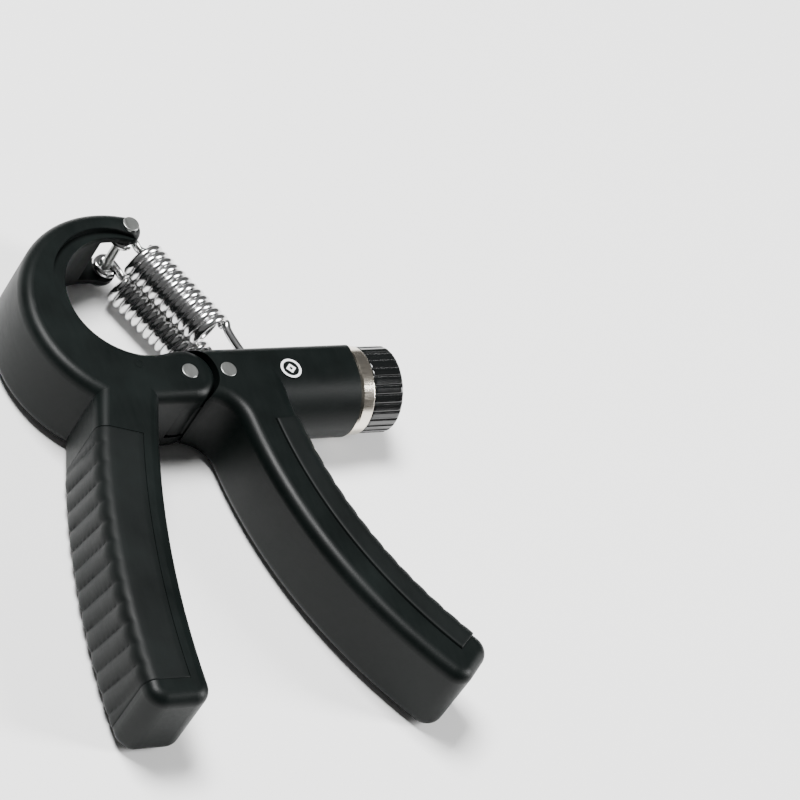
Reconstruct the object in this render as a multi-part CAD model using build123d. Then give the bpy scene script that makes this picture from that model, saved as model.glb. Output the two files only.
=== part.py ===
from build123d import *
import os
from math import acos, atan2, cos, hypot, radians, sin, sqrt

# Adjustable hand grip strengthener, lying on one face.
# Origin: the pivot's axis, on the plane that the strengthener lies on.
# +X runs along the barrel to the knob, +Y up to the hook, +Z out of the face.

# ---- driving dimensions, in millimetres ----
BODY_T = 25.0            # thickness of both arms, face to face
EDGE_R = 3.4             # rounding of the arms' face edges

EAR_R = 8.0              # rounded end of the hook arm's two ears
EAR_GAP = 0.4            # clearance round the ears and round the tongue
TONGUE_T = 12.4          # barrel arm's tongue, between the ears
TONGUE_SIDE_GAP = 0.25   # clearance on each side of the tongue

HOOK_R = 32.5            # outer curve of the hook
HOOK_CENTRE = (-8.5, 20.2)
EYE_R = 19.0             # inner curve of the hook
EYE_CENTRE = (-6.9, 26.0)
STEP_R = 20.6            # edge of the lowered band round the inner curve
STEP_CENTRE = (-9.6, 26.5)
STEP_DEPTH = 2.2
FORK_T = 16.6            # gap in the hook's tip, between its two cheeks
FORK_LENGTH = 8.5        # how far the gap runs back from the spring pin

HOOK_HANDLE_W = 18.0     # handle under the hook, and three points on its centre line
HOOK_HANDLE = ((-20.6, -8.0), (-32.2, -52.0), (-36.2, -98.0))
BARREL_HANDLE_W = 16.6   # handle under the barrel, likewise
BARREL_HANDLE = ((19.6, -6.0), (28.2, -55.0), (52.2, -95.0))
HANDLE_CORNER_R = 5.0    # corners of a handle's lower end
ROOT_R = 8.0             # hollow corner between the pivot and the barrel's handle

GRIP_FACE_T = 1.6        # soft grip's thickness on the faces
GRIP_SIDE_T = 3.2        # soft grip's thickness on the outer side
HOOK_GRIP_W = 12.6       # how far the grip reaches over the hook arm's face
BARREL_GRIP_W = 8.2      # the same on the barrel arm
GRIP_HEAD = 10.0         # bare length of handle above the hook arm's grip
GRIP_RISE = 2.5          # the barrel arm's is this much shorter than the barrel's radius
GRIP_FOOT = 6.5          # bare length of handle below a grip

BARREL_TOP = 8.0         # flat top's height over the screw's axis
BARREL_START = 12.0      # where the half-round underside begins
SLOT_W = 18.8            # open slot in the barrel's top
SLOT_START = 14.8        # slot's inner end, from the pivot
SLOT_SPARE = 1.4         # slot left in front of the carriage at the heaviest setting
SLOT_FLOOR = -6.6        # under the screw's axis
END_WALL = 4.0           # barrel's end wall

PIN_R = 2.3              # cross pins seen on both faces
PIN_DOME = 0.25          # pins' heads stand this far out of the upper face
DOME_SHARE = 0.9         # share of that height that is rounded
NECK_R = 1.3             # thin middle of the spring pin
THRUST_PIN_X = 11.6      # pin that the screw's inner end bears on
RUN_GAP = 0.05           # radial running clearance
SLEEVE_WALL = 1.0        # steel sleeve that the pivot pin turns in

SCREW_R = 2.5
TRAVEL = 20.0            # carriage's travel along the screw
CARRIAGE_L = 10.0
CARRIAGE_END_GAP = 0.8   # slot left behind the carriage at the lightest setting
CARRIAGE_BEVEL = 0.6
CARRIAGE_GAP = 0.3       # carriage's clearance in the slot
CARRIAGE_BORE_GAP = 0.3
CARRIAGE_TOP = 7.6
ANCHOR_R = 1.5
ANCHOR_Y = 5.4           # anchor pin's height over the screw's axis
NUT_W, NUT_T = 8.0, 4.0  # square nut in the carriage
NUT_GAP = 0.05
NUT_BEVEL = 0.5

WIRE_R = 1.15            # spring wire
COIL_R = 6.0             # coil's outer radius
COIL_TURNS = 13
COIL_PITCH = 2.35
COIL_LEAD = 6.8          # from the spring pin's axis to the first turn
SPRING_OFFSET = 6.15      # each spring's distance from the middle plane
LOOP_GAP = 0.1           # between a spring's end loop and its pin
LOOP_ROOM = 0.4          # between an end loop and the slot that it sits in

RING_R, RING_L = 12.0, 4.6
RING_BEVEL = 1.3
RING_RIM_R = 0.3         # rounding of the ring's outer rim
RING_BORE_GAP = 0.4
WASHER_R, WASHER_T = 7.0, 0.7
FACE_GAP = 0.1           # behind the washer, and again in front of the ring
KNOB_R, KNOB_L = 11.7, 9.2
KNOB_EDGE = 0.8
FLUTES = 30
FLUTE_R = 0.75           # each flute's own radius
CAP_R, CAP_T, CAP_DOME = 10.3, 2.0, 2.8
BUSH_R, BUSH_FLANGE_R, BUSH_FLANGE_T = 4.4, 6.0, 1.0
HEAD_R, HEAD_T = 2.9, 1.6
HEAD_ROOM = 1.0          # round the knob screw's head
SHANK_R, SHANK_L = 1.5, 6.0
SCREW_IN_KNOB = 5.0      # adjusting screw's length inside the knob
OVER = 1.0               # how far a cutter reaches past what it cuts

# ---- places that follow from them ----
MID = BODY_T / 2
BARREL_GRIP_HEAD = MID - GRIP_RISE
CARRIAGE_START = SLOT_START + CARRIAGE_END_GAP
BARREL_END = CARRIAGE_START + CARRIAGE_L + TRAVEL + SLOT_SPARE + END_WALL
GAP_R = EAR_R + EAR_GAP
GAP_HALF_T = TONGUE_T / 2 + TONGUE_SIDE_GAP
CENTRES_APART = hypot(EYE_CENTRE[0] - HOOK_CENTRE[0], EYE_CENTRE[1] - HOOK_CENTRE[1])
# The tip's circle touches both curves where the hook is thinnest.
TIP_R = (HOOK_R - EYE_R - CENTRES_APART) / 2
TIP_DIR = Vector(EYE_CENTRE[0] - HOOK_CENTRE[0], EYE_CENTRE[1] - HOOK_CENTRE[1]).normalized()
SPRING_PIN = Vector(*HOOK_CENTRE) + TIP_DIR * (HOOK_R - TIP_R)
ANCHOR = Vector(CARRIAGE_START + CARRIAGE_L / 2, ANCHOR_Y)
RING_START = BARREL_END
RING_END = RING_START + RING_L
WASHER_START = RING_END - WASHER_T + FACE_GAP
KNOB_START = WASHER_START + WASHER_T
KNOB_END = KNOB_START + KNOB_L
CAP_START = KNOB_END - CAP_T
SCREW_START = THRUST_PIN_X + PIN_R + RUN_GAP
SCREW_END = KNOB_START + SCREW_IN_KNOB

os.makedirs("parts", exist_ok=True)


def save(solid, name):
    export_step(solid, f"parts/{name}.step")


def disc(x, y, r, low, high):
    """Upright cylinder between two heights."""
    return Pos(x, y, (low + high) / 2) * Cylinder(r, high - low)


def rod(low, high, r):
    """Cylinder on the screw's axis, between two places along X."""
    return Pos((low + high) / 2, 0, MID) * Rot(0, 90, 0) * Cylinder(r, high - low)


def block(x_low, x_high, y_low, y_high, z_low, z_high):
    size = Box(x_high - x_low, y_high - y_low, z_high - z_low)
    return Pos((x_low + x_high) / 2, (y_low + y_high) / 2, (z_low + z_high) / 2) * size


def slab(face, low, high):
    """A flat outline raised between two heights."""
    return extrude(Pos(0, 0, low) * face, high - low)


def circle_through(a, b, c):
    """Centre and radius of the circle through three points."""
    d = 2 * (a[0] * (b[1] - c[1]) + b[0] * (c[1] - a[1]) + c[0] * (a[1] - b[1]))
    sa, sb, sc = (p[0] ** 2 + p[1] ** 2 for p in (a, b, c))
    x = (sa * (b[1] - c[1]) + sb * (c[1] - a[1]) + sc * (a[1] - b[1])) / d
    y = (sa * (c[0] - b[0]) + sb * (a[0] - c[0]) + sc * (b[0] - a[0])) / d
    return x, y, hypot(a[0] - x, a[1] - y)


def circles_meet(c1, r1, c2, r2):
    """The two points where two circles cross."""
    apart = hypot(c2[0] - c1[0], c2[1] - c1[1])
    along = (r1 ** 2 - r2 ** 2 + apart ** 2) / (2 * apart)
    off = sqrt(r1 ** 2 - along ** 2)
    ux, uy = (c2[0] - c1[0]) / apart, (c2[1] - c1[1]) / apart
    foot = (c1[0] + along * ux, c1[1] + along * uy)
    return [(foot[0] - s * off * uy, foot[1] + s * off * ux) for s in (1, -1)]


class Handle:
    """A handle's curved strip. Its centre of curvature is on the knob's side."""

    def __init__(self, points, width, outwards):
        self.x, self.y, self.r = circle_through(*points)
        self.angles = [atan2(p[1] - self.y, p[0] - self.x) % radians(360) for p in points]
        self.width = width
        self.outwards = outwards     # 1 if the outer side faces away from the centre

    def radius(self, depth):
        """Radius of the line that lies `depth` in from the outer side."""
        return self.r + self.outwards * (self.width / 2 - depth)

    def at(self, angle, depth):
        r = self.radius(depth)
        return (self.x + r * cos(angle), self.y + r * sin(angle))

    def strip(self, depth, width, head=0.0, foot=0.0):
        """Part of the handle, from `depth` in, with its two ends cut shorter."""
        first = self.angles[0] + head / self.r
        last = self.angles[2] - foot / self.r
        middle = (first + last) / 2
        near, far = depth, depth + width
        edges = [
            ThreePointArc(self.at(first, near), self.at(middle, near), self.at(last, near)),
            Line(self.at(last, near), self.at(last, far)),
            ThreePointArc(self.at(last, far), self.at(middle, far), self.at(first, far)),
            Line(self.at(first, far), self.at(first, near)),
        ]
        return make_face(edges)

    def side_at_height(self, y, depth):
        """Point on one of the handle's lines, at a height."""
        r = self.radius(depth)
        return (self.x - sqrt(r ** 2 - (y - self.y) ** 2), y)


hook_handle = Handle(HOOK_HANDLE, HOOK_HANDLE_W, 1)
barrel_handle = Handle(BARREL_HANDLE, BARREL_HANDLE_W, -1)


def round_foot(face):
    """Round the two corners at a handle's lower end."""
    return fillet(face.vertices().sort_by(Axis.Y)[:2], HANDLE_CORNER_R)


def face_edges(solid, skip=None):
    """Edges that lie in the two faces, without those that `skip` picks."""
    found = []
    for edge in solid.edges():
        box = edge.bounding_box()
        flat = box.max.Z - box.min.Z < 1e-3
        on_face = abs(box.min.Z) < 1e-3 or abs(box.min.Z - BODY_T) < 1e-3
        if flat and on_face and not (skip and skip(edge)):
            found.append(edge)
    return found


def hook_outline():
    """Hook, ear and handle as one closed outline, starting under the ear."""
    hx, hy = HOOK_CENTRE
    ex, ey = EYE_CENTRE
    handle = hook_handle
    w = handle.width
    last = handle.angles[2]
    under_ear = (0, -EAR_R)
    crook = handle.side_at_height(-EAR_R, w)
    inner_end, outer_end = handle.at(last, w), handle.at(last, 0)
    notch = min(circles_meet(HOOK_CENTRE, HOOK_R, (handle.x, handle.y), handle.radius(0)),
                key=lambda p: abs(p[1]))
    centre = (handle.x, handle.y)
    inner_mid = handle.at((atan2(crook[1] - centre[1], crook[0] - centre[0]) % radians(360) + last) / 2, w)
    outer_mid = handle.at((atan2(notch[1] - centre[1], notch[0] - centre[0]) % radians(360) + last) / 2, 0)
    outer_top = Vector(hx, hy) + TIP_DIR * HOOK_R
    inner_top = Vector(ex, ey) + TIP_DIR * EYE_R
    tip_side = SPRING_PIN + Vector(TIP_DIR.Y, -TIP_DIR.X) * TIP_R
    eye_low = (ex, ey - EYE_R)
    reach = hypot(*eye_low)
    touch = atan2(eye_low[1], eye_low[0]) - acos(EAR_R / reach)
    ear_top = (EAR_R * cos(touch), EAR_R * sin(touch))
    edges = [
        Line(under_ear, crook),
        ThreePointArc(crook, inner_mid, inner_end),
        Line(inner_end, outer_end),
        ThreePointArc(outer_end, outer_mid, notch),
        ThreePointArc(notch, (hx - HOOK_R, hy), outer_top),
        ThreePointArc(outer_top, tip_side, inner_top),
        ThreePointArc(inner_top, (ex - EYE_R, ey), eye_low),
        Line(eye_low, ear_top),
        ThreePointArc(ear_top, (EAR_R, 0), under_ear),
    ]
    return round_foot(make_face(edges))


def ear_end(edge):
    """True for the ears' rounded end, which keeps its sharp edges."""
    middle = edge @ 0.5
    return abs(hypot(middle.X, middle.Y) - EAR_R) < 0.1 and middle.X > 0


def split_grip(arm, handle, face_w, head):
    """Take the soft grip's skin off an arm's outer side."""
    slack = BODY_T
    reach = slab(handle.strip(-slack, face_w + slack, head, GRIP_FOOT), -OVER, BODY_T + OVER)
    core = slab(handle.strip(GRIP_SIDE_T, face_w, head - OVER, GRIP_FOOT - OVER),
                GRIP_FACE_T, BODY_T - GRIP_FACE_T)
    grip = (arm & reach) - core
    return arm - grip, grip


def make_hook_arm():
    arm = slab(hook_outline(), 0, BODY_T)
    arm = fillet(face_edges(arm, ear_end), EDGE_R)
    lowered = Pos(*STEP_CENTRE) * Circle(STEP_R)
    arm -= slab(lowered, -OVER, STEP_DEPTH)
    arm -= slab(lowered, BODY_T - STEP_DEPTH, BODY_T + OVER)
    low, high = MID - GAP_HALF_T, MID + GAP_HALF_T
    arm -= disc(0, 0, GAP_R, low, high)
    arm -= block(0, 2 * EAR_R, -2 * EAR_R, 2 * EAR_R, low, high)
    fork = FORK_T / 2
    arm -= block(SPRING_PIN.X - FORK_LENGTH, SPRING_PIN.X + 2 * TIP_R, EYE_CENTRE[1],
                 SPRING_PIN.Y + 2 * TIP_R, MID - fork, MID + fork)
    arm -= disc(0, 0, PIN_R + RUN_GAP, -OVER, BODY_T + OVER)
    arm -= disc(SPRING_PIN.X, SPRING_PIN.Y, PIN_R + RUN_GAP, -OVER, BODY_T + OVER)
    return split_grip(arm, hook_handle, HOOK_GRIP_W, GRIP_HEAD)


def barrel_root_outline():
    """Handle and its root under the pivot, as one closed outline."""
    handle = barrel_handle
    w = handle.width
    first, last = handle.angles[0], handle.angles[2]
    middle = (first + last) / 2
    root_y = -(EAR_R - EAR_GAP)
    corner = handle.side_at_height(root_y, w)
    inside = BARREL_TOP / 4
    outer_top = handle.side_at_height(inside, 0)
    edges = [
        Line((0, root_y), corner),
        ThreePointArc(corner, handle.at(middle, w), handle.at(last, w)),
        Line(handle.at(last, w), handle.at(last, 0)),
        ThreePointArc(handle.at(last, 0), handle.at(middle, 0), outer_top),
        Line(outer_top, (0, inside)),
        Line((0, inside), (0, root_y)),
    ]
    face = round_foot(make_face(edges))
    hollow = min(face.vertices(), key=lambda v: hypot(v.X - corner[0], v.Y - corner[1]))
    return fillet(hollow, ROOT_R)


def make_barrel_arm():
    root = slab(barrel_root_outline(), 0, BODY_T)
    root = fillet(face_edges(root, lambda e: (e @ 0.5).Y > -1 or (e @ 0.5).X < 1), EDGE_R)
    top = block(0, BARREL_END, 0, BARREL_TOP, 0, BODY_T)
    top_edges = [e for e in face_edges(top) if abs((e @ 0.5).Y - BARREL_TOP) < 1e-3]
    top = fillet(top_edges, EDGE_R)
    underside = rod(BARREL_START, BARREL_END, MID)
    underside -= block(BARREL_START - OVER, BARREL_END + OVER, 0, BODY_T, -OVER, BODY_T + OVER)
    arm = root + top + underside
    arm -= disc(0, 0, GAP_R, -OVER, BODY_T + OVER)
    # tongue between the ears, with its bore for the sleeve
    low, high = MID - TONGUE_T / 2, MID + TONGUE_T / 2
    tongue_r = EAR_R - EAR_GAP
    arm += disc(0, 0, tongue_r, low, high)
    arm += block(0, BARREL_START, -tongue_r + EAR_GAP, tongue_r - EAR_GAP, low, high)
    arm -= disc(0, 0, PIN_R + RUN_GAP + SLEEVE_WALL, -OVER, BODY_T + OVER)
    arm -= disc(THRUST_PIN_X, 0, PIN_R, -OVER, BODY_T + OVER)
    # slot for the carriage, and the screw's bores at its two ends
    slot_end = BARREL_END - END_WALL
    arm -= block(SLOT_START, slot_end, SLOT_FLOOR, 2 * BARREL_TOP,
                 MID - SLOT_W / 2, MID + SLOT_W / 2)
    arm -= rod(THRUST_PIN_X, SLOT_START + OVER, SCREW_R + RUN_GAP)
    arm -= rod(slot_end - OVER, BARREL_END + OVER, BUSH_R)
    return split_grip(arm, barrel_handle, BARREL_GRIP_W, BARREL_GRIP_HEAD)


def make_cross_pin(x, y):
    """Pin from face to face, with a low dome on the upper face."""
    pin = disc(x, y, PIN_R, 0, BODY_T + PIN_DOME)
    return fillet(pin.edges().sort_by(Axis.Z)[-1], PIN_DOME * DOME_SHARE)


def make_spring_pin():
    pin = make_cross_pin(SPRING_PIN.X, SPRING_PIN.Y)
    neck = FORK_T / 2 - LOOP_ROOM
    ring = disc(SPRING_PIN.X, SPRING_PIN.Y, 2 * PIN_R, MID - neck, MID + neck)
    ring -= disc(SPRING_PIN.X, SPRING_PIN.Y, NECK_R, 0, BODY_T)
    return pin - ring


def make_sleeve():
    sleeve = disc(0, 0, PIN_R + RUN_GAP + SLEEVE_WALL, MID - TONGUE_T / 2, MID + TONGUE_T / 2)
    return sleeve - disc(0, 0, PIN_R + RUN_GAP, 0, BODY_T)


def wire(start, end):
    """Straight round wire between two points."""
    line = Line(start, end)
    return sweep(Plane(origin=start, z_dir=(end - start)) * Circle(WIRE_R), path=line)


def make_spring(z):
    """Close-wound coil as a ribbed tube, with a loop round each pin."""
    top = Vector(SPRING_PIN.X, SPRING_PIN.Y, z)
    low = Vector(ANCHOR.X, ANCHOR.Y, z)
    along = (low - top).normalized()
    mean = COIL_R - WIRE_R
    first = COIL_LEAD + WIRE_R
    last = first + COIL_TURNS * COIL_PITCH
    frame = Plane(origin=top, x_dir=(0, 0, 1), z_dir=along)
    profile = Pos(mean - WIRE_R / 2, (first + last) / 2) * Rectangle(WIRE_R, last - first)
    for turn in range(COIL_TURNS + 1):
        profile += Pos(mean, first + turn * COIL_PITCH) * Circle(WIRE_R)
    section = Plane(origin=top, x_dir=(0, 0, 1), z_dir=along.cross(Vector(0, 0, 1)) * -1)
    coil = revolve(section * profile, Axis(top, along))
    spring = coil
    for pin, pin_r, sign, end in ((top, NECK_R, 1, first), (low, ANCHOR_R, -1, last)):
        loop_r = pin_r + LOOP_GAP + WIRE_R
        spring += Pos(*pin) * Torus(loop_r, WIRE_R)
        bar = top + along * end
        spring += wire(pin + along * (sign * loop_r), bar)
        spring += wire(bar, bar + Vector(0, 0, mean if z > MID else -mean))
    return spring


def make_carriage():
    half = SLOT_W / 2 - CARRIAGE_GAP
    low, high = MID - half, MID + half
    far = CARRIAGE_START + CARRIAGE_L
    body = block(CARRIAGE_START, far, SLOT_FLOOR + CARRIAGE_GAP, CARRIAGE_TOP, low, high)
    body = chamfer(body.edges().filter_by(Axis.Z), CARRIAGE_BEVEL)
    loop_low = ANCHOR_Y - (ANCHOR_R + LOOP_GAP + 2 * WIRE_R) - LOOP_ROOM
    for side in (-1, 1):
        centre = MID + side * SPRING_OFFSET
        room = WIRE_R + LOOP_ROOM
        body -= block(CARRIAGE_START - OVER, far + OVER, loop_low, 2 * BARREL_TOP,
                      centre - room, centre + room)
    body -= rod(CARRIAGE_START - OVER, far + OVER, SCREW_R + CARRIAGE_BORE_GAP)
    pocket = NUT_W / 2 + NUT_GAP
    body -= block(far - NUT_T, far + OVER, -pocket, pocket, MID - pocket, MID + pocket)
    body -= disc(ANCHOR.X, ANCHOR.Y, ANCHOR_R, 0, BODY_T)
    anchor = disc(ANCHOR.X, ANCHOR.Y, ANCHOR_R, low, high)
    nut = block(far - NUT_T, far, -NUT_W / 2, NUT_W / 2, MID - NUT_W / 2, MID + NUT_W / 2)
    nut -= rod(CARRIAGE_START, far + OVER, SCREW_R + RUN_GAP)
    return body, chamfer(nut.edges().filter_by(Axis.X), NUT_BEVEL), anchor


def make_end_bush():
    bush = rod(BARREL_END - END_WALL, BARREL_END, BUSH_R)
    bush += rod(BARREL_END, BARREL_END + BUSH_FLANGE_T, BUSH_FLANGE_R)
    return bush - rod(BARREL_END - END_WALL - OVER, BARREL_END + END_WALL, SCREW_R + RUN_GAP)


def make_trim_ring():
    ring = rod(RING_START, RING_END, RING_R)
    rims = ring.edges().filter_by(GeomType.CIRCLE).sort_by(Axis.X)
    ring = chamfer(rims[0], RING_BEVEL)
    rims = ring.edges().filter_by(GeomType.CIRCLE).sort_by(Axis.X)
    ring = fillet(rims[-1], RING_RIM_R)
    ring -= rod(RING_START - OVER, RING_END + OVER, SCREW_R + RING_BORE_GAP)
    ring -= rod(RING_START - OVER, RING_START + BUSH_FLANGE_T, BUSH_FLANGE_R)
    return ring - rod(WASHER_START - FACE_GAP, RING_END + OVER, WASHER_R + RING_BORE_GAP)


def make_knob():
    outline = Circle(KNOB_R)
    for flute in PolarLocations(KNOB_R + FLUTE_R / 2, FLUTES):
        outline -= flute * Circle(FLUTE_R)
    across = Plane(origin=(KNOB_START, 0, MID), x_dir=(0, 1, 0), z_dir=(1, 0, 0))
    knob = extrude(across * outline, KNOB_L)
    limit = rod(KNOB_START, KNOB_END, KNOB_R)
    limit = fillet(limit.edges().filter_by(GeomType.CIRCLE), KNOB_EDGE)
    knob = (knob & limit) + rod(KNOB_START, KNOB_END, KNOB_R - 2 * FLUTE_R)
    knob -= rod(KNOB_START - OVER, SCREW_END, SCREW_R)
    knob -= rod(SCREW_END, CAP_START, HEAD_R + HEAD_ROOM)
    return knob - rod(CAP_START, KNOB_END + OVER, CAP_R)


def make_knob_cap():
    """Disc whose outer face is a shallow dome."""
    sphere_r = (CAP_R ** 2 + CAP_DOME ** 2) / (2 * CAP_DOME)
    half_way = CAP_R / 2
    rise = CAP_DOME - sphere_r + sqrt(sphere_r ** 2 - half_way ** 2)
    top = KNOB_END + CAP_DOME
    edges = [
        Line((CAP_START, 0), (CAP_START, CAP_R)),
        Line((CAP_START, CAP_R), (KNOB_END, CAP_R)),
        ThreePointArc((KNOB_END, CAP_R), (KNOB_END + rise, half_way), (top, 0)),
        Line((top, 0), (CAP_START, 0)),
    ]
    return revolve(Pos(0, 0, MID) * make_face(edges), Axis((0, 0, MID), (1, 0, 0)))


def make_screws():
    screw = rod(SCREW_START, SCREW_END, SCREW_R)
    screw -= rod(SCREW_END - SHANK_L, SCREW_END + OVER, SHANK_R)
    washer = rod(WASHER_START, KNOB_START, WASHER_R) - rod(WASHER_START - OVER, KNOB_START + OVER, SCREW_R)
    head = rod(SCREW_END, SCREW_END + HEAD_T, HEAD_R)
    head += rod(SCREW_END - SHANK_L, SCREW_END, SHANK_R)
    return screw, washer, head


def main():
    hook_arm, hook_grip = make_hook_arm()
    barrel_arm, barrel_grip = make_barrel_arm()
    carriage, nut, anchor = make_carriage()
    screw, washer, head = make_screws()
    save(hook_arm, "hook_arm")
    save(hook_grip, "hook_arm_grip")
    save(barrel_arm, "barrel_arm")
    save(barrel_grip, "barrel_arm_grip")
    save(make_spring_pin(), "spring_pin")
    save(make_cross_pin(0, 0), "pivot_pin")
    save(make_cross_pin(THRUST_PIN_X, 0), "thrust_pin")
    save(make_sleeve(), "pivot_sleeve")
    save(make_spring(MID + SPRING_OFFSET), "front_spring")
    save(make_spring(MID - SPRING_OFFSET), "rear_spring")
    save(carriage, "carriage")
    save(nut, "carriage_nut")
    save(anchor, "anchor_pin")
    save(screw, "adjusting_screw")
    save(make_end_bush(), "end_bush")
    save(make_trim_ring(), "trim_ring")
    save(washer, "knob_washer")
    save(make_knob(), "knob")
    save(make_knob_cap(), "knob_cap")
    save(head, "knob_screw")


main()
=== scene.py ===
from math import atan2, cos, hypot, pi, radians, sin, sqrt, tau

import bmesh
import bpy
import numpy as np
from bpy.props import FloatProperty, FloatVectorProperty, IntProperty, PointerProperty
from mathutils import Matrix, Quaternion, Vector


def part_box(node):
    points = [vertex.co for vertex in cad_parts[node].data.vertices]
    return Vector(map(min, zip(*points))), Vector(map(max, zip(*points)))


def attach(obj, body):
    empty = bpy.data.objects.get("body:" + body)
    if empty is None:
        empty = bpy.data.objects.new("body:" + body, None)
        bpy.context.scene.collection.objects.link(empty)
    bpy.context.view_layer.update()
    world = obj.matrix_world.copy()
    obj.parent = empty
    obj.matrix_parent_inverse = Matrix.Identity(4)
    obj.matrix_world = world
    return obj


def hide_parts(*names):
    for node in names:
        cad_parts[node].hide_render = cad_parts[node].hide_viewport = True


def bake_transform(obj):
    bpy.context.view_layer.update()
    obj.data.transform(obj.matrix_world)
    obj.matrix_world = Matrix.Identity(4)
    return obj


bl_info = {
    "name": "Hand grip strengthener",
    "version": (1, 0, 0),
    "blender": (4, 5, 0),
    "location": "View3D > Sidebar > Strengthener",
    "description": "Wound springs, ribbed grips, thread, printing and finishes "
                   "for an adjustable hand grip",
    "category": "Object",
}

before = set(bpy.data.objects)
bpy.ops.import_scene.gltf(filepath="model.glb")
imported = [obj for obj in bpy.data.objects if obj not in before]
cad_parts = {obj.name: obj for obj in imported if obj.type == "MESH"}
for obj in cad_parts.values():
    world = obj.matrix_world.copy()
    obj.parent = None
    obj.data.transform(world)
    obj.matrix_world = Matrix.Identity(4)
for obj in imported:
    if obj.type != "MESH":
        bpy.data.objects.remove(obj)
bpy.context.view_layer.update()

MM = 0.001
UP = Vector((0, 0, 1))
SHARP_ANGLE = radians(40)  # an edge that turns more than this is shown sharp

# ---- places that come from the frame ----
ARM_LOW, ARM_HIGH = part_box("barrel_arm")
FACE_Z = ARM_HIGH.z                      # upper face of both arms
MID_Z = (ARM_LOW.z + ARM_HIGH.z) / 2
SPRING_PIN = sum(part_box("spring_pin"), Vector()) / 2
ANCHOR_PIN = sum(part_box("anchor_pin"), Vector()) / 2
SPRING_Z = {"front": sum(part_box("front_spring"), Vector()).z / 2,
            "rear": sum(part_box("rear_spring"), Vector()).z / 2}
SCREW_LOW, SCREW_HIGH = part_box("adjusting_screw")

# ---- handles, in mm ----
# Three points of the centre line and the width across it, whether the grip's side faces away from
# the centre of the line's arc (1) or towards it (-1), how far the grip reaches over the faces, and
# how proud it stands of the arm.
HANDLES = {
    "hook_arm": {"points": ((-20.6, -8.0), (-32.2, -52.0), (-36.2, -98.0)), "width": 18.0,
                 "outwards": 1, "reach": 12.6, "proud": 0.1},
    "barrel_arm": {"points": ((19.6, -6.0), (28.2, -55.0), (52.2, -95.0)), "width": 16.6,
                   "outwards": -1, "reach": 8.2, "proud": 0.6},
}
GRIP_HEAD = 10.0 * MM      # bare length of handle above a grip
GRIP_FOOT = 6.5 * MM       # bare length of handle below a grip
SKIN_FACE = 1.55 * MM      # grip's depth under the faces
SKIN_SIDE = 3.15 * MM      # grip's depth under the outer side
ARM_EDGE_R = 3.4 * MM      # rounding of the arm's edges
LIP_R = 0.4 * MM           # rounding of the grip's own edges
LIP_STEPS, FACE_STEPS, EDGE_STEPS, SIDE_STEPS = 3, 6, 7, 14     # of a grip's section
LIP_SHARES = (0, 0.08, 0.3, 0.6, 1)      # of LIP_R, where the sections at a grip's ends stand
RING_STEP = 0.5 * MM       # from one section to the next
RIB_RUN = 4 * MM           # the ribs rise to their full height over this length
RIB_MIDDLE = 0.6           # share of a rib's height that is level with the smooth skin
RIB_KNOTS = ((0.14, 0.5), (0.36, 0.86), (0.62, 1.0), (0.88, 0.72))    # a rib's outline

# ---- springs ----
HOOK_NECK_R = 1.3 * MM     # spring pin's thin middle
ANCHOR_R = 1.5 * MM
LOOP_GAP = 0.1 * MM        # between a loop and its pin
# the wire's way from a coil's end to its loop: share of the coil's mean radius, then mm across
# the coil and mm along it
HOOK_BEND = ((1.0, 0.6, 0.05), (1.0, -0.9, -0.15), (0.9, -2.3, -0.9), (0.62, -1.7, -2.6))
LOOP_LEAN = 0.2            # mm to the side where the loop starts
LOOP_REST = 0.2            # share of the loop's radius from the middle, where the wire ends
LOOP_LIFT = 0.15           # mm that the wire's end lifts
COIL_STEPS = 40            # pieces in one turn of wire
WIRE_CORNERS = 14
HOOK_STEPS = 10            # pieces between two points of a hook

# ---- adjusting screw ----
ROD_CORNERS = 48
THREAD_STEPS = 32          # pieces in one turn of thread
RIDGE_CORNERS = 8

# ---- printing ----
PRINT_T = 0.05 * MM        # thickness of the ink
PRINT_SINK = 0.02 * MM     # how far the ink reaches into the plastic
WELD_GAP = PRINT_SINK / 10


# ---------------------------------------------------------------- user's values

class SpringSizes(bpy.types.PropertyGroup):
    wire_radius: FloatProperty(
        name="Wire radius", description="Radius of the spring wire",
        default=1.15 * MM, unit="LENGTH")
    coil_radius: FloatProperty(
        name="Coil radius", description="Outer radius of a coil",
        default=6.0 * MM, unit="LENGTH")
    turns: IntProperty(
        name="Turns", description="Whole turns in a coil", default=12, min=3)
    pitch: FloatProperty(
        name="Pitch", description="Distance from one turn to the next",
        default=2.35 * MM, unit="LENGTH")
    lead: FloatProperty(
        name="Lead", description="From the spring pin's axis to the coil's first turn",
        default=6.9 * MM, unit="LENGTH")


class GripSizes(bpy.types.PropertyGroup):
    rib_pitch: FloatProperty(
        name="Rib pitch", description="Distance from one rib to the next",
        default=5.9 * MM, unit="LENGTH")
    rib_height: FloatProperty(
        name="Rib height", description="From a groove's bottom to a rib's crest",
        default=0.9 * MM, unit="LENGTH")
    rib_slant: FloatProperty(
        name="Rib slant",
        description="How far a rib drops along the handle for each unit of thickness",
        default=0.2)


class ScrewSizes(bpy.types.PropertyGroup):
    pitch: FloatProperty(
        name="Thread pitch", description="Distance from one thread to the next",
        default=1.5 * MM, unit="LENGTH")
    depth: FloatProperty(
        name="Thread depth", description="How deep the thread is cut",
        default=0.5 * MM, unit="LENGTH")


class PrintSizes(bpy.types.PropertyGroup):
    bars: IntProperty(
        name="Bars", description="Bars in the force scale", default=7, min=1)
    bar_pitch: FloatProperty(
        name="Bar pitch", description="Distance from one bar to the next",
        default=2.8 * MM, unit="LENGTH")
    colour: FloatVectorProperty(
        name="Ink colour", description="Colour of the printing",
        default=(0.72, 0.74, 0.74), subtype="COLOR", min=0, max=1)


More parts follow.
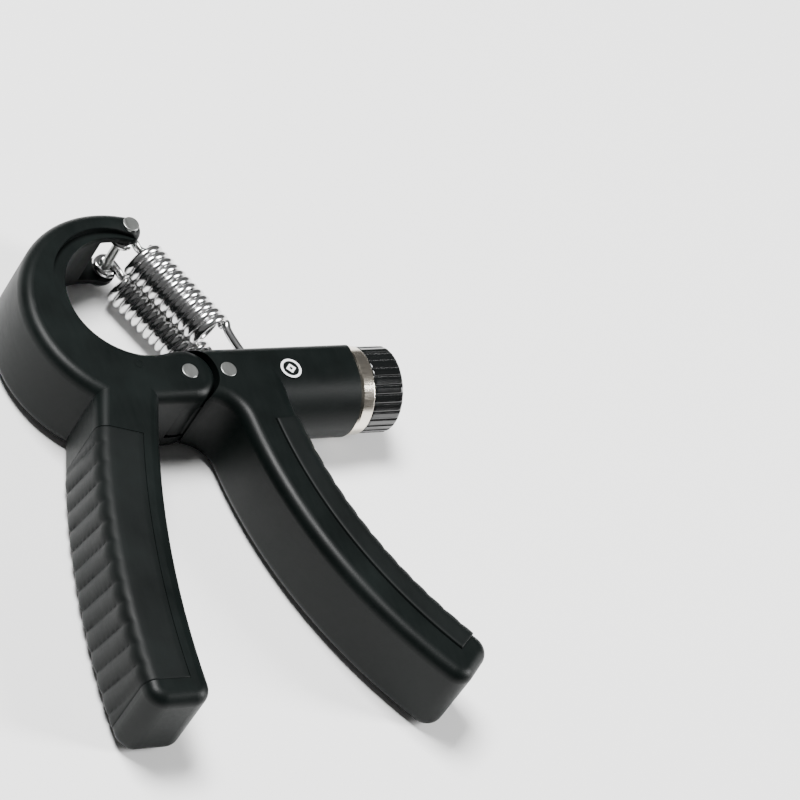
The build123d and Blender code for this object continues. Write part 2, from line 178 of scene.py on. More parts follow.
class FinishColours(bpy.types.PropertyGroup):
    body: FloatVectorProperty(
        name="Arms", description="Colour of the moulded arms",
        default=(0.0020, 0.0034, 0.0031), subtype="COLOR", min=0, max=1)
    grip: FloatVectorProperty(
        name="Grips", description="Colour of the soft grips",
        default=(0.0019, 0.0030, 0.0028), subtype="COLOR", min=0, max=1)
    knob: FloatVectorProperty(
        name="Knob", description="Colour of the gloss knob",
        default=(0.0025, 0.003, 0.003), subtype="COLOR", min=0, max=1)
    ring: FloatVectorProperty(
        name="Ring", description="Colour of the nickel ring",
        default=(0.78, 0.72, 0.62), subtype="COLOR", min=0, max=1)


GROUPS = {"springs": SpringSizes, "grips": GripSizes, "screw": ScrewSizes,
          "printing": PrintSizes, "colours": FinishColours}


def settings(name):
    return getattr(bpy.context.scene, "strengthener_" + name)


# ---------------------------------------------------------------- scene and mesh helpers

def to_scene(name, data):
    """Puts some data in the scene as an object."""
    made = bpy.data.objects.new(name, data)
    bpy.context.scene.collection.objects.link(made)
    return made


def final_mesh(source):
    """An object's finished mesh. The object itself is removed."""
    graph = bpy.context.evaluated_depsgraph_get()
    mesh = bpy.data.meshes.new_from_object(source.evaluated_get(graph))
    bpy.data.objects.remove(source)
    return mesh


def piece(name, mesh, material=None):
    """Puts a mesh in the scene, smooth except where it turns sharply."""
    mesh.name = name
    made = to_scene(name, mesh)
    if material:
        mesh.materials.clear()
        mesh.materials.append(material)
    mesh.polygons.foreach_set("use_smooth", [True] * len(mesh.polygons))
    mesh.set_sharp_from_angle(angle=SHARP_ANGLE)
    return made


def face_outwards(mesh, weld=0.0):
    """Turns a closed mesh's faces outwards, once points nearer than `weld` are joined."""
    shape = bmesh.new()
    shape.from_mesh(mesh)
    if weld:
        bmesh.ops.remove_doubles(shape, verts=shape.verts, dist=weld)
    bmesh.ops.recalc_face_normals(shape, faces=shape.faces)
    shape.to_mesh(mesh)
    shape.free()
    mesh.update()
    return mesh


def mesh_from(points, faces):
    """A closed mesh whose faces look outwards."""
    mesh = bpy.data.meshes.new("shape")
    mesh.from_pydata(points, [], faces)
    return face_outwards(mesh)


# ---------------------------------------------------------------- node helpers

WHOLE_NUMBERS = ("Count",)      # sizes that are a number of things


def add(tree, kind, inputs=None, **properties):
    """Adds a node. Inputs are values, or sockets to link from."""
    made = tree.nodes.new(kind)
    for name, value in properties.items():
        setattr(made, name, value)
    for key, value in (inputs or {}).items():
        if isinstance(value, bpy.types.NodeSocket):
            tree.links.new(value, made.inputs[key])
        else:
            made.inputs[key].default_value = value
    return made


def maths(tree, operation, first, second=0.0):
    made = add(tree, "ShaderNodeMath", {0: first, 1: second}, operation=operation)
    return made.outputs[0]


def shape_tree(name, sizes):
    """An empty geometry tree with named sizes and a material. Returns it and its input node."""
    tree = bpy.data.node_groups.new(name, "GeometryNodeTree")
    tree.interface.new_socket("Geometry", in_out="INPUT", socket_type="NodeSocketGeometry")
    tree.interface.new_socket("Geometry", in_out="OUTPUT", socket_type="NodeSocketGeometry")
    for size in sizes:
        kind = "NodeSocketInt" if size in WHOLE_NUMBERS else "NodeSocketFloat"
        tree.interface.new_socket(size, in_out="INPUT", socket_type=kind)
    tree.interface.new_socket("Material", in_out="INPUT", socket_type="NodeSocketMaterial")
    return tree, tree.nodes.new("NodeGroupInput").outputs


def end_tree(tree, source, geometry):
    """Closes a geometry tree with real geometry in its material."""
    real = add(tree, "GeometryNodeRealizeInstances", {"Geometry": geometry})
    painted = add(tree, "GeometryNodeSetMaterial",
                  {"Geometry": real.outputs[0], "Material": source["Material"]})
    add(tree, "NodeGroupOutput", {"Geometry": painted.outputs[0]})
    return tree


def grow(name, data, tree, values):
    """Runs a geometry tree on some data and returns its result as a plain mesh object."""
    seed = to_scene(name + "_seed", data)
    modifier = seed.modifiers.new("shape", "NODES")
    modifier.node_group = tree
    for item in tree.interface.items_tree:
        if item.in_out == "INPUT" and item.name in values:
            modifier[item.identifier] = values[item.name]
    mesh = final_mesh(seed)
    if not mesh.polygons:
        raise RuntimeError(f"{name} has no faces")
    return piece(name, mesh)


# ---------------------------------------------------------------- materials

NOISE_LOW, NOISE_HIGH = 0.3, 0.7     # most of a noise pattern lies between these
TONE_STOPS = (0.3, 0.72)             # where the darker and the lighter tone are reached
CLOUD_SCALE = 0.35 / (6 * MM)
SCUFF_SIZE = 1.2 * MM
SCUFF_STRETCH = (1, 0.12, 1)         # scuffs run along Y
SCUFF_SHARE, CLOUD_SHARE = 0.45, 0.55
BRUSH_GRAIN = 0.25 * MM
STAIN_SIZE = 3 * MM
SPECK_SIZE = 0.25 * MM
ALONG_X, ALONG_Y, EVEN = (0.05, 1.0, 1.0), (1.0, 0.06, 1.0), (1.0, 1.0, 1.0)    # a metal's grain
CARRIAGE_COLOUR = (0.02, 0.022, 0.022)
PIN_COLOUR = (0.30, 0.31, 0.30)
STEEL_COLOUR = (0.45, 0.45, 0.44)
WIRE_COLOUR = (0.74, 0.74, 0.74)


def finish(name, colour, roughness, metallic=0.0, coat=0.0, specular=0.5):
    """An empty material with its shader. Returns the material, its tree and the shader."""
    made = bpy.data.materials.new(name)
    made.use_nodes = True
    tree = made.node_tree
    shader = tree.nodes["Principled BSDF"]
    shader.inputs["Base Color"].default_value = (*colour, 1)
    shader.inputs["Roughness"].default_value = roughness
    shader.inputs["Metallic"].default_value = metallic
    shader.inputs["Coat Weight"].default_value = coat
    shader.inputs["Specular IOR Level"].default_value = specular
    made.diffuse_color = (*colour, 1)
    return made, tree, shader


def own_place(tree):
    """The object's own coordinates, which stay with the piece as it moves."""
    return add(tree, "ShaderNodeTexCoord").outputs["Object"]


def noise(tree, place, scale, detail=3.0, roughness=0.55):
    made = add(tree, "ShaderNodeTexNoise",
               {"Vector": place, "Scale": scale, "Detail": detail, "Roughness": roughness})
    return made.outputs["Fac"]


def between(tree, factor, low, high):
    """Spreads a noise factor over the values from `low` to `high`."""
    made = add(tree, "ShaderNodeMapRange",
               {"Value": factor, "From Min": NOISE_LOW, "From Max": NOISE_HIGH,
                "To Min": low, "To Max": high})
    return made.outputs["Result"]


def vary_colour(tree, shader, factor, colour, change):
    """Shades the base colour between a darker and a lighter tone."""
    ramp = add(tree, "ShaderNodeValToRGB", {"Fac": factor})
    dark, light = ramp.color_ramp.elements
    dark.position, light.position = TONE_STOPS
    dark.color = (*(c * (1 - change) for c in colour), 1)
    light.color = (*(min(1, c * (1 + change)) for c in colour), 1)
    tree.links.new(ramp.outputs["Color"], shader.inputs["Base Color"])


def raise_grain(tree, shader, height, distance, strength):
    bump = add(tree, "ShaderNodeBump",
               {"Height": height, "Distance": distance, "Strength": strength})
    tree.links.new(bump.outputs["Normal"], shader.inputs["Normal"])


def moulded(name, colour, rough_low, rough_high, grain=0.35 * MM, depth=0.02 * MM,
            coat=0.0, specular=0.12):
    """Moulded plastic or rubber: cloudy tone, spark-eroded grain and faint scuffs."""
    made, tree, shader = finish(name, colour, rough_low, coat=coat, specular=specular)
    place = own_place(tree)
    cloud = noise(tree, place, CLOUD_SCALE, detail=4)
    fine = noise(tree, place, 1 / grain, detail=2)
    stretch = add(tree, "ShaderNodeMapping", {"Vector": place, "Scale": SCUFF_STRETCH})
    scuff = noise(tree, stretch.outputs[0], 1 / SCUFF_SIZE, detail=6, roughness=0.7)
    vary_colour(tree, shader, cloud, colour, change=0.28)
    blend = maths(tree, "ADD", maths(tree, "MULTIPLY", scuff, SCUFF_SHARE),
                  maths(tree, "MULTIPLY", cloud, CLOUD_SHARE))
    tree.links.new(between(tree, blend, rough_low, rough_high), shader.inputs["Roughness"])
    raise_grain(tree, shader, fine, depth, strength=0.8)
    return made


def metal(name, colour, rough_low, rough_high, brush, depth=0.004 * MM):
    """Plated or brushed metal. `brush` stretches its grain along the frame's three axes."""
    made, tree, shader = finish(name, colour, rough_low, metallic=1.0)
    place = own_place(tree)
    stretch = add(tree, "ShaderNodeMapping", {"Vector": place, "Scale": brush})
    line = noise(tree, stretch.outputs[0], 1 / BRUSH_GRAIN, detail=4, roughness=0.65)
    stain = noise(tree, place, 1 / STAIN_SIZE)
    vary_colour(tree, shader, stain, colour, change=0.07)
    tree.links.new(between(tree, line, rough_low, rough_high), shader.inputs["Roughness"])
    raise_grain(tree, shader, line, depth, strength=0.6)
    return made


def ink(name, colour):
    """Pad-printed ink with faint pinholes and a slightly uneven coat."""
    made, tree, shader = finish(name, colour, roughness=0.5)
    speck = noise(tree, own_place(tree), 1 / SPECK_SIZE)
    vary_colour(tree, shader, speck, colour, change=0.12)
    raise_grain(tree, shader, speck, distance=0.01 * MM, strength=0.5)
    return made


def finishes():
    """All the materials, made once and found by name after that."""
    colours = settings("colours")
    if "moulded_arm" not in bpy.data.materials:
        moulded("moulded_arm", colours.body, 0.36, 0.5, grain=0.4 * MM, depth=0.03 * MM)
        moulded("soft_grip", colours.grip, 0.46, 0.6, grain=0.3 * MM, depth=0.03 * MM)
        moulded("gloss_knob", colours.knob, 0.12, 0.22, grain=1.0 * MM, depth=0.004 * MM,
                coat=0.3, specular=0.5)
        moulded("satin_cap", colours.body, 0.3, 0.44, grain=0.3 * MM, depth=0.02 * MM)
        moulded("carriage_plastic", CARRIAGE_COLOUR, 0.4, 0.55)
        metal("brushed_pin", PIN_COLOUR, 0.28, 0.46, ALONG_Y)
        metal("plated_steel", STEEL_COLOUR, 0.25, 0.45, EVEN)
        metal("nickel_ring", colours.ring, 0.13, 0.26, ALONG_X)
        metal("spring_wire", WIRE_COLOUR, 0.1, 0.24, EVEN, depth=0.003 * MM)
        ink("white_ink", settings("printing").colour)
    return bpy.data.materials


CAD_FINISHES = {
    "moulded_arm": ("hook_arm", "barrel_arm"),
    "soft_grip": ("hook_arm_grip", "barrel_arm_grip"),
    "gloss_knob": ("knob",),
    "satin_cap": ("knob_cap",),
    "carriage_plastic": ("carriage", "end_bush", "knob_washer"),
    "brushed_pin": ("pivot_pin", "thrust_pin", "spring_pin"),
    "plated_steel": ("pivot_sleeve", "carriage_nut", "anchor_pin", "adjusting_screw", "knob_screw"),
    "nickel_ring": ("trim_ring",),
    "spring_wire": ("front_spring", "rear_spring"),
}


# ---------------------------------------------------------------- springs

def spring_tree():
    """A wound coil along Z between two bent hooks, which come in as curves."""
    tree, source = shape_tree(
        "Wound spring", ("Wire Radius", "Coil Radius", "Rotations", "Height"))
    mean = maths(tree, "SUBTRACT", source["Coil Radius"], source["Wire Radius"])
    coil = add(tree, "GeometryNodeCurveSpiral",
               {"Resolution": COIL_STEPS, "Rotations": source["Rotations"],
                "Start Radius": mean, "End Radius": mean, "Height": source["Height"]})
    joined = add(tree, "GeometryNodeJoinGeometry", {"Geometry": source["Geometry"]})
    tree.links.new(coil.outputs[0], joined.inputs[0])
    wire = add(tree, "GeometryNodeCurvePrimitiveCircle",
               {"Resolution": WIRE_CORNERS, "Radius": source["Wire Radius"]})
    swept = add(tree, "GeometryNodeCurveToMesh",
                {"Curve": joined.outputs[0], "Profile Curve": wire.outputs[0],
                 "Fill Caps": True})
    return end_tree(tree, source, swept.outputs[0])


def hook_points(coil_end, mean, loop_r, pin_z, sign):
    """A hook's control points, from a coil's end to round its pin.

    `sign` is 1 for the hook on the spring pin and -1 for the one on the anchor pin."""
    near, far = pin_z + sign * loop_r, pin_z - sign * loop_r
    bend = [(mean * share, across * sign * MM, coil_end + along * sign * MM)
            for share, across, along in HOOK_BEND]
    loop = [
        (loop_r, -LOOP_LEAN * sign * MM, near),
        (loop_r, 0, far),
        (-loop_r, 0, far),
        (-loop_r, 0, near),
        (-LOOP_REST * loop_r, 0, near + LOOP_LIFT * sign * MM),
    ]
    return bend + loop


def make_spring(side):
    """Winds a spring from the spring pin to the anchor pin. It stretches between them."""
    sizes = settings("springs")
    mean = sizes.coil_radius - sizes.wire_radius
    height = sizes.turns * sizes.pitch
    top = Vector((SPRING_PIN.x, SPRING_PIN.y, SPRING_Z[side]))
    low = Vector((ANCHOR_PIN.x, ANCHOR_PIN.y, SPRING_Z[side]))
    hooks = bpy.data.curves.new("hooks", "CURVE")
    hooks.dimensions = "3D"
    far_pin = (low - top).length - sizes.lead
    for end, pin_r, pin_z, sign in ((0, HOOK_NECK_R, -sizes.lead, 1),
                                    (height, ANCHOR_R, far_pin, -1)):
        points = hook_points(end, mean, pin_r + LOOP_GAP + sizes.wire_radius, pin_z, sign)
        line = hooks.splines.new("NURBS")
        line.points.add(len(points) - 1)
        for point, place in zip(line.points, points):
            point.co = (*place, 1)
        line.order_u = 3
        line.use_endpoint_u = True
        line.resolution_u = HOOK_STEPS
    spring = grow(side + "_spring_coil", hooks, spring_tree(), {
        "Wire Radius": sizes.wire_radius, "Coil Radius": sizes.coil_radius,
        "Rotations": float(sizes.turns), "Height": height,
        "Material": finishes()["spring_wire"]})
    # local Z runs along the spring, and local X lies across it in the plane of the arms
    along = (low - top).normalized()
    across = UP.cross(along)
    turned = Matrix((across, along.cross(across), along)).transposed().to_4x4()
    spring.data.transform(Matrix.Translation(top + along * sizes.lead) @ turned)
    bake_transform(spring)
    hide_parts(side + "_spring")


# ---------------------------------------------------------------- grips

def circle_through(a, b, c):
    """Centre and radius of the circle through three points."""
    d = 2 * (a[0] * (b[1] - c[1]) + b[0] * (c[1] - a[1]) + c[0] * (a[1] - b[1]))
    sa, sb, sc = (p[0] ** 2 + p[1] ** 2 for p in (a, b, c))
    x = (sa * (b[1] - c[1]) + sb * (c[1] - a[1]) + sc * (a[1] - b[1])) / d
    y = (sa * (c[0] - b[0]) + sb * (a[0] - c[0]) + sc * (b[0] - a[0])) / d
    return x, y, hypot(a[0] - x, a[1] - y)


def grip_section(reach):
    """A grip's outer line, across the handle, as (depth, height, normal's two parts, share of rib).

    It starts on the upper face, passes the outer side and ends on the lower face."""
    thick, edge, lip = FACE_Z, ARM_EDGE_R, LIP_R
    upper = [(reach, thick - 2 * lip, 1, 0, 0)]
    for step in range(LIP_STEPS + 1):
        a = step * pi / (2 * LIP_STEPS)
        upper.append((reach - lip + lip * cos(a), thick - lip + lip * sin(a), cos(a), sin(a), 0))
    for step in range(1, FACE_STEPS):
        upper.append((reach - lip + (edge - reach + lip) * step / FACE_STEPS, thick, 0, 1, 0))
    for step in range(EDGE_STEPS + 1):
        a = step * pi / (2 * EDGE_STEPS)
        share = (step / EDGE_STEPS) ** 2
        upper.append((edge - edge * sin(a), thick - edge + edge * cos(a), -sin(a), cos(a), share))
    side = [(0, thick - edge - (thick - 2 * edge) * step / SIDE_STEPS, -1, 0, 1)
            for step in range(1, SIDE_STEPS)]
    lower = [(d, thick - z, nd, -nz, share) for d, z, nd, nz, share in reversed(upper)]
    return upper + side + lower


def ring_places(length):
    """Places along a grip, closer together at its two rounded ends."""
    ends = [LIP_R * share for share in LIP_SHARES]
    inner = list(np.arange(LIP_R + RING_STEP, length - LIP_R - RING_STEP / 2, RING_STEP))
    return ends + inner + [length - place for place in reversed(ends)]


def fade(place, length, run):
    """Rises from 0 to 1 over `run` at one end and falls again at the other."""
    share = min(1.0, max(0.0, min(place, length - place) / run))
    return share * share * (3 - 2 * share)


def grip_shell(handle):
    """The grip's smooth closed skin, with its distance along the handle and its share of rib."""
    x, y, r = (v * MM for v in circle_through(*handle["points"]))
    first, last = (atan2(p[1] * MM - y, p[0] * MM - x) % tau for p in handle["points"][::2])
    turn = 1 if last > first else -1
    length = abs(last - first) * r - GRIP_HEAD - GRIP_FOOT
    proud = handle["proud"] * MM
    reach = handle["reach"] * MM
    section = grip_section(reach)
    half = handle["width"] * MM / 2
    count = len(section)
    points, along, share = [], [], []
    places = ring_places(length)
    for place in places:
        angle = first + turn * (GRIP_HEAD + place) / r
        # the skin stands proud of the arm, and rounds down into it at both ends
        edge = max(0.0, 1 - min(place, length - place) / LIP_R)
        lift = proud - (LIP_R + proud) * (1 - sqrt(1 - edge * edge))
        ray = (cos(angle), sin(angle))
        for inner in (False, True):
            for d, z, nd, nz, rib in section:
                if inner:
                    d, z = max(d, SKIN_SIDE), min(max(z, SKIN_FACE), FACE_Z - SKIN_FACE)
                    d = min(d, reach - SKIN_FACE / 2)
                else:
                    d, z = d + nd * min(lift, 0 if nd > 0 else lift), z + nz * lift
                at = r + handle["outwards"] * (half - d)
                points.append((x + at * ray[0], y + at * ray[1], z))
                along.append(place)
                share.append(0 if inner else rib * fade(place, length, RIB_RUN))
    faces = []
    for ring in range(len(places) - 1):
        a, b = ring * 2 * count, (ring + 1) * 2 * count
        for skin in (0, count):
            faces += [(a + skin + i, a + skin + i + 1, b + skin + i + 1, b + skin + i)
                      for i in range(count - 1)]
        for i in (0, count - 1):
            faces.append((a + i, b + i, b + count + i, a + count + i))
    for cap in (0, (len(places) - 1) * 2 * count):
        faces += [(cap + i, cap + i + 1, cap + count + i + 1, cap + count + i)
                  for i in range(count - 1)]
    mesh = mesh_from(points, faces)
    for name, values in (("along", along), ("rib_share", share)):
        mesh.attributes.new(name, "FLOAT", "POINT").data.foreach_set("value", values)
    return mesh


def attribute(tree, name):
    return add(tree, "GeometryNodeInputNamedAttribute", {"Name": name}).outputs["Attribute"]


def rib_tree():
    """Pushes a skin in and out in slanting, overlapping ribs."""
    tree, source = shape_tree("Grip ribs", ("Rib Pitch", "Rib Height", "Rib Slant"))
    along, share = attribute(tree, "along"), attribute(tree, "rib_share")
    place = add(tree, "GeometryNodeInputPosition").outputs[0]
    height = add(tree, "ShaderNodeSeparateXYZ", {"Vector": place}).outputs["Z"]
    slanted = maths(tree, "SUBTRACT", along,
                    maths(tree, "MULTIPLY", height, source["Rib Slant"]))
    phase = maths(tree, "FRACT", maths(tree, "DIVIDE", slanted, source["Rib Pitch"]))
    shingle = add(tree, "ShaderNodeFloatCurve", {"Value": phase})
    curve = shingle.mapping.curves[0]
    curve.points[0].location = (0, 0)
    curve.points[1].location = (1, 0)
    for knot in RIB_KNOTS:
        curve.points.new(*knot)
    shingle.mapping.update()
    rise = maths(tree, "MULTIPLY", maths(tree, "SUBTRACT", shingle.outputs[0], RIB_MIDDLE),
                 maths(tree, "MULTIPLY", share, source["Rib Height"]))
    normal = add(tree, "GeometryNodeInputNormal").outputs[0]
    push = add(tree, "ShaderNodeVectorMath", {0: normal, "Scale": rise}, operation="SCALE")
    moved = add(tree, "GeometryNodeSetPosition",
                {"Geometry": source["Geometry"], "Offset": push.outputs[0]})
    return end_tree(tree, source, moved.outputs[0])


def make_grip(arm):
    """Moulds one arm's grip over the outer side of its handle."""
    sizes = settings("grips")
    grip = grow(arm + "_ribbed_grip", grip_shell(HANDLES[arm]), rib_tree(), {
        "Rib Pitch": sizes.rib_pitch, "Rib Height": sizes.rib_height,
        "Rib Slant": sizes.rib_slant, "Material": finishes()["soft_grip"]})
    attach(grip, arm)
    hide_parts(arm + "_grip")


# ---------------------------------------------------------------- adjusting screw

def thread_tree():
    """A rod along Z with a rounded thread wound round it."""
    tree, source = shape_tree("Screw thread", ("Radius", "Depth", "Rotations", "Height"))
    core = maths(tree, "SUBTRACT", source["Radius"], source["Depth"])
    rod = add(tree, "GeometryNodeMeshCylinder",
              {"Vertices": ROD_CORNERS, "Radius": core, "Depth": source["Height"]})
    middle = maths(tree, "MULTIPLY", source["Height"], 0.5)
    lift = add(tree, "ShaderNodeCombineXYZ", {"Z": middle})
    raised = add(tree, "GeometryNodeTransform",
                 {"Geometry": rod.outputs["Mesh"], "Translation": lift.outputs[0]})
    line = add(tree, "GeometryNodeCurveSpiral",
               {"Resolution": THREAD_STEPS, "Rotations": source["Rotations"],
                "Start Radius": core, "End Radius": core, "Height": source["Height"]})
    ridge = add(tree, "GeometryNodeCurvePrimitiveCircle",
                {"Resolution": RIDGE_CORNERS, "Radius": source["Depth"]})
    swept = add(tree, "GeometryNodeCurveToMesh",
                {"Curve": line.outputs[0], "Profile Curve": ridge.outputs[0],
                 "Fill Caps": True})
    joined = add(tree, "GeometryNodeJoinGeometry", {"Geometry": raised.outputs[0]})
    tree.links.new(swept.outputs[0], joined.inputs[0])
    return end_tree(tree, source, joined.outputs[0])


def make_screw():
    """Winds the thread along the adjusting screw, which turns with the knob."""
    sizes = settings("screw")
    length = SCREW_HIGH.x - SCREW_LOW.x
    screw = grow("threaded_screw", bpy.data.meshes.new("empty"), thread_tree(), {
        "Radius": SCREW_HIGH.y, "Depth": sizes.depth, "Rotations": length / sizes.pitch,
        "Height": length, "Material": finishes()["plated_steel"]})
    laid = Matrix.Translation((SCREW_LOW.x, 0, MID_Z)) @ Matrix.Rotation(pi / 2, 4, "Y")
    screw.data.transform(laid)
    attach(screw, "knob")
    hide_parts("adjusting_screw")


# ---------------------------------------------------------------- printing and moulding marks

SCALE_START = 22.3 * MM      # first bar's centre, from the pivot
SCALE_Y = 4.4 * MM
BAR_SIZE = (2.1 * MM, 3.0 * MM)
LABEL_SIZE = 3.1 * MM
LABEL_DROP = LABEL_SIZE / 3  # puts the middle of a figure on its place
# text, and the place of its middle in mm
LABELS = (("60", 46.0, 4.9), ("kg", 46.0, 1.7), ("5", 18.4, 4.9), ("kg", 18.4, 1.7))
RING_CORNERS = 64
LOZENGE_CORNERS = 4
MARK_PLACE = (30.5 * MM, -0.5 * MM)
MARK_R = 3.0 * MM
# name, inner and outer radius as shares of MARK_R, corners
FACE_MARKS = (("face_mark_ring", 0.78, 1, RING_CORNERS),
              ("face_mark_lozenge", 0.2, 0.5, LOZENGE_CORNERS))
GATE_PLACE = (-14.0 * MM, 3.0 * MM)
GATE_R = 1.3 * MM
GATE_INNER_R = GATE_R * 0.7


def bar_tree():
    """A row of flat bars along X."""
    tree, source = shape_tree(
        "Scale bars", ("Count", "Pitch", "Width", "Length", "Thickness"))
    step = add(tree, "ShaderNodeCombineXYZ", {"X": source["Pitch"]})
    row = add(tree, "GeometryNodeMeshLine",
              {"Count": source["Count"], "Offset": step.outputs[0]})
    size = add(tree, "ShaderNodeCombineXYZ",
               {"X": source["Width"], "Y": source["Length"], "Z": source["Thickness"]})
    bar = add(tree, "GeometryNodeMeshCube", {"Size": size.outputs[0]})
    placed = add(tree, "GeometryNodeInstanceOnPoints",
                 {"Points": row.outputs[0], "Instance": bar.outputs[0]})
    return end_tree(tree, source, placed.outputs[0])


def make_scale():
    """Bars and numbers under the barrel, to be read from below."""
    sizes = settings("printing")
    thickness = PRINT_T + PRINT_SINK
    height = ARM_LOW.z - PRINT_T / 2 + PRINT_SINK / 2
    bars = grow("scale_bars", bpy.data.meshes.new("empty"), bar_tree(), {
        "Count": sizes.bars, "Pitch": sizes.bar_pitch, "Width": BAR_SIZE[0],
        "Length": BAR_SIZE[1], "Thickness": thickness, "Material": finishes()["white_ink"]})
    start = SCALE_START + sizes.bar_pitch / 2
    bars.data.transform(Matrix.Translation((start, SCALE_Y, height)))
    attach(bars, "barrel_arm")
    for index, (text, x, y) in enumerate(LABELS):
        words = bpy.data.curves.new("words", "FONT")
        words.body = text
        words.size = LABEL_SIZE
        words.align_x = "CENTER"
        words.extrude = thickness / 2
        mesh = final_mesh(to_scene("words", words))
        mesh.transform(Matrix.Translation((x * MM, y * MM - LABEL_DROP, height))
                       @ Matrix.Rotation(pi, 4, "Y"))
        # a text's front, back and rims are joined into closed letters
        label = piece(f"scale_label_{index}", face_outwards(mesh, WELD_GAP),
                      finishes()["white_ink"])
        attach(label, "barrel_arm")


def flat_ring(inner, outer, low, high, corners=RING_CORNERS):
    """A flat closed ring between two heights. With four corners it is a lozenge."""
    rims = ((outer, low), (outer, high), (inner, high), (inner, low))
    points, faces = [], []
    for r, z in rims:
        points += [(r * cos(tau * i / corners), r * sin(tau * i / corners), z)
                   for i in range(corners)]
    for rim in range(len(rims)):
        a, b = rim * corners, (rim + 1) % len(rims) * corners
        faces += [(a + i, a + (i + 1) % corners, b + (i + 1) % corners, b + i)
                  for i in range(corners)]
    return mesh_from(points, faces)


def make_marks():
    """A plain printed ring and lozenge on the barrel, and the ring that the mould's gate leaves."""
    low, high = FACE_Z - PRINT_SINK, FACE_Z + PRINT_T
    for name, inner, outer, corners in FACE_MARKS:
        mark = flat_ring(MARK_R * inner, MARK_R * outer, low, high, corners)
        mark.transform(Matrix.Translation((*MARK_PLACE, 0)))
        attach(piece(name, mark, finishes()["white_ink"]), "barrel_arm")
    gate = flat_ring(GATE_INNER_R, GATE_R, low, high + PRINT_T)
    gate.transform(Matrix.Translation((*GATE_PLACE, 0)))
    gate_ring = piece("gate_mark", gate, finishes()["moulded_arm"])
    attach(gate_ring, "hook_arm")


# ---------------------------------------------------------------- stage

CAMERA_TARGET = Vector((0.0694, -0.0039, 0.0125))
CAMERA_AWAY = 1.2177
CAMERA_TURN = radians(48.72)      # from -Y towards -X
CAMERA_HEIGHT = radians(44.84)
CAMERA_ROLL = radians(36.07)
LENS, SENSOR = 202.5, 36.0
FLOOR_GAP = 0.8 * MM
FLOOR_HALF = 3.0
FLOOR_COLOUR = (0.86, 0.86, 0.855)
WORLD_STRENGTH = 0.12
LAMP_AIM = Vector((0, -25 * MM, MID_Z))
LAMPS = (
    # name, place, width, height, watts
    ("key", (-0.35, 0.45, 1.35), 0.5, 0.5, 66.0),
    ("rim", (1.0, -0.45, 0.6), 0.25, 0.8, 26.0),
)


def make_floor():
    """A pale floor just below the strengthener, with a hardly visible cloudy tone."""
    corners = [(x * FLOOR_HALF, y * FLOOR_HALF, -FLOOR_GAP)
               for x, y in ((-1, -1), (1, -1), (1, 1), (-1, 1))]
    mesh = bpy.data.meshes.new("floor")
    mesh.from_pydata(corners, [], [(0, 1, 2, 3)])
    floor = to_scene("floor", mesh)
    pale, tree, shader = finish("pale_floor", FLOOR_COLOUR, roughness=0.75)
    cloud = noise(tree, own_place(tree), scale=3.0)
    vary_colour(tree, shader, cloud, FLOOR_COLOUR, change=0.008)
    mesh.materials.append(pale)


def make_lights():
    """The lamps, and a faint even light from all round."""
    for name, place, width, height, watts in LAMPS:
        light = bpy.data.lights.new(name, "AREA")
        light.shape, light.size, light.size_y, light.energy = "RECTANGLE", width, height, watts
        lamp = to_scene(name + "_lamp", light)
        lamp.location = place
        lamp.rotation_mode = "QUATERNION"
        lamp.rotation_quaternion = (LAMP_AIM - Vector(place)).to_track_quat("-Z", "Y")
    world = bpy.data.worlds.new("studio")
    world.use_nodes = True
    background = world.node_tree.nodes["Background"]
    background.inputs["Color"].default_value = (1, 1, 1, 1)
    background.inputs["Strength"].default_value = WORLD_STRENGTH
    bpy.context.scene.world = world


def make_camera():
    """Stands the camera off its target and rolls it about its own axis."""
    data = bpy.data.cameras.new("camera")
    data.lens, data.sensor_width = LENS, SENSOR
    camera = to_scene("camera", data)
    level = CAMERA_AWAY * cos(CAMERA_HEIGHT)
    back = Vector((-level * sin(CAMERA_TURN), -level * cos(CAMERA_TURN),
                   CAMERA_AWAY * sin(CAMERA_HEIGHT)))
    camera.location = CAMERA_TARGET + back
    camera.rotation_mode = "QUATERNION"
    roll = Quaternion(UP, CAMERA_ROLL)
    camera.rotation_quaternion = (-back).to_track_quat("-Z", "Y") @ roll
    bpy.context.scene.camera = camera


# ---------------------------------------------------------------- operators

class STRENGTHENER_OT_finish_parts(bpy.types.Operator):
    """Give every part of the frame its finish"""
    bl_idname = "strengthener.finish_parts"
    bl_label = "Finish the parts"

    def execute(self, context):
        found = finishes()
        for name, nodes in CAD_FINISHES.items():
            for node in nodes:
                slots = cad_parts[node].data.materials
                slots.clear()
                slots.append(found[name])
        return {"FINISHED"}


class STRENGTHENER_OT_add_springs(bpy.types.Operator):
    """Wind the two springs between their pins"""
    bl_idname = "strengthener.add_springs"
    bl_label = "Add the springs"

    def execute(self, context):
        for side in ("front", "rear"):
            make_spring(side)
        return {"FINISHED"}


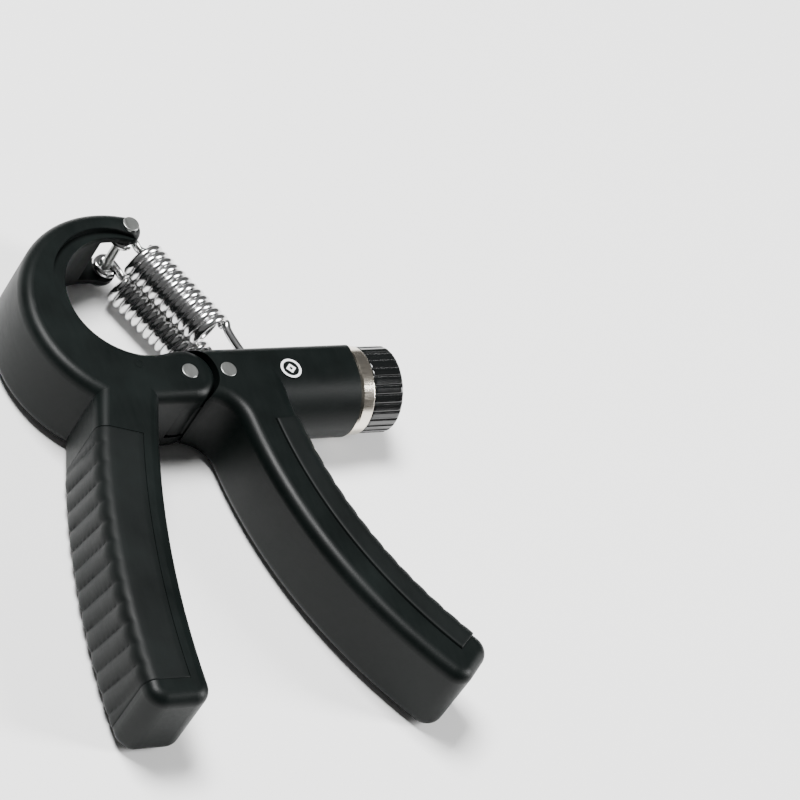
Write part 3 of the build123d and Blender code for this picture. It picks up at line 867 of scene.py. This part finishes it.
class STRENGTHENER_OT_add_grips(bpy.types.Operator):
    """Mould the ribbed grips on both handles"""
    bl_idname = "strengthener.add_grips"
    bl_label = "Add the grips"

    def execute(self, context):
        for arm in HANDLES:
            make_grip(arm)
        return {"FINISHED"}


class STRENGTHENER_OT_add_screw(bpy.types.Operator):
    """Cut the thread on the adjusting screw"""
    bl_idname = "strengthener.add_screw"
    bl_label = "Add the threaded screw"

    def execute(self, context):
        make_screw()
        return {"FINISHED"}


class STRENGTHENER_OT_add_printing(bpy.types.Operator):
    """Print the force scale and the plain marks"""
    bl_idname = "strengthener.add_printing"
    bl_label = "Add the printing"

    def execute(self, context):
        make_scale()
        make_marks()
        return {"FINISHED"}


class STRENGTHENER_OT_add_stage(bpy.types.Operator):
    """Set up the floor, the lamps and the camera"""
    bl_idname = "strengthener.add_stage"
    bl_label = "Add the stage"

    def execute(self, context):
        make_floor()
        make_lights()
        make_camera()
        return {"FINISHED"}


OPERATORS = (STRENGTHENER_OT_finish_parts, STRENGTHENER_OT_add_springs, STRENGTHENER_OT_add_grips,
             STRENGTHENER_OT_add_screw, STRENGTHENER_OT_add_printing, STRENGTHENER_OT_add_stage)


class STRENGTHENER_PT_panel(bpy.types.Panel):
    """Sizes and pieces of the strengthener"""
    bl_label = "Strengthener"
    bl_idname = "STRENGTHENER_PT_panel"
    bl_space_type = "VIEW_3D"
    bl_region_type = "UI"
    bl_category = "Strengthener"

    def draw(self, context):
        for name, group in GROUPS.items():
            column = self.layout.column(align=True)
            for field in group.__annotations__:
                column.prop(settings(name), field)
        for operator in OPERATORS:
            self.layout.operator(operator.bl_idname)


def register():
    for item in (*GROUPS.values(), *OPERATORS, STRENGTHENER_PT_panel):
        bpy.utils.register_class(item)
    for name, group in GROUPS.items():
        setattr(bpy.types.Scene, "strengthener_" + name, PointerProperty(type=group))


def unregister():
    for name in GROUPS:
        delattr(bpy.types.Scene, "strengthener_" + name)
    for item in reversed((*GROUPS.values(), *OPERATORS, STRENGTHENER_PT_panel)):
        bpy.utils.unregister_class(item)


def main():
    register()
    for operator in OPERATORS:
        group, name = operator.bl_idname.split(".")
        getattr(getattr(bpy.ops, group), name)()


if __name__ == "__main__":
    main()
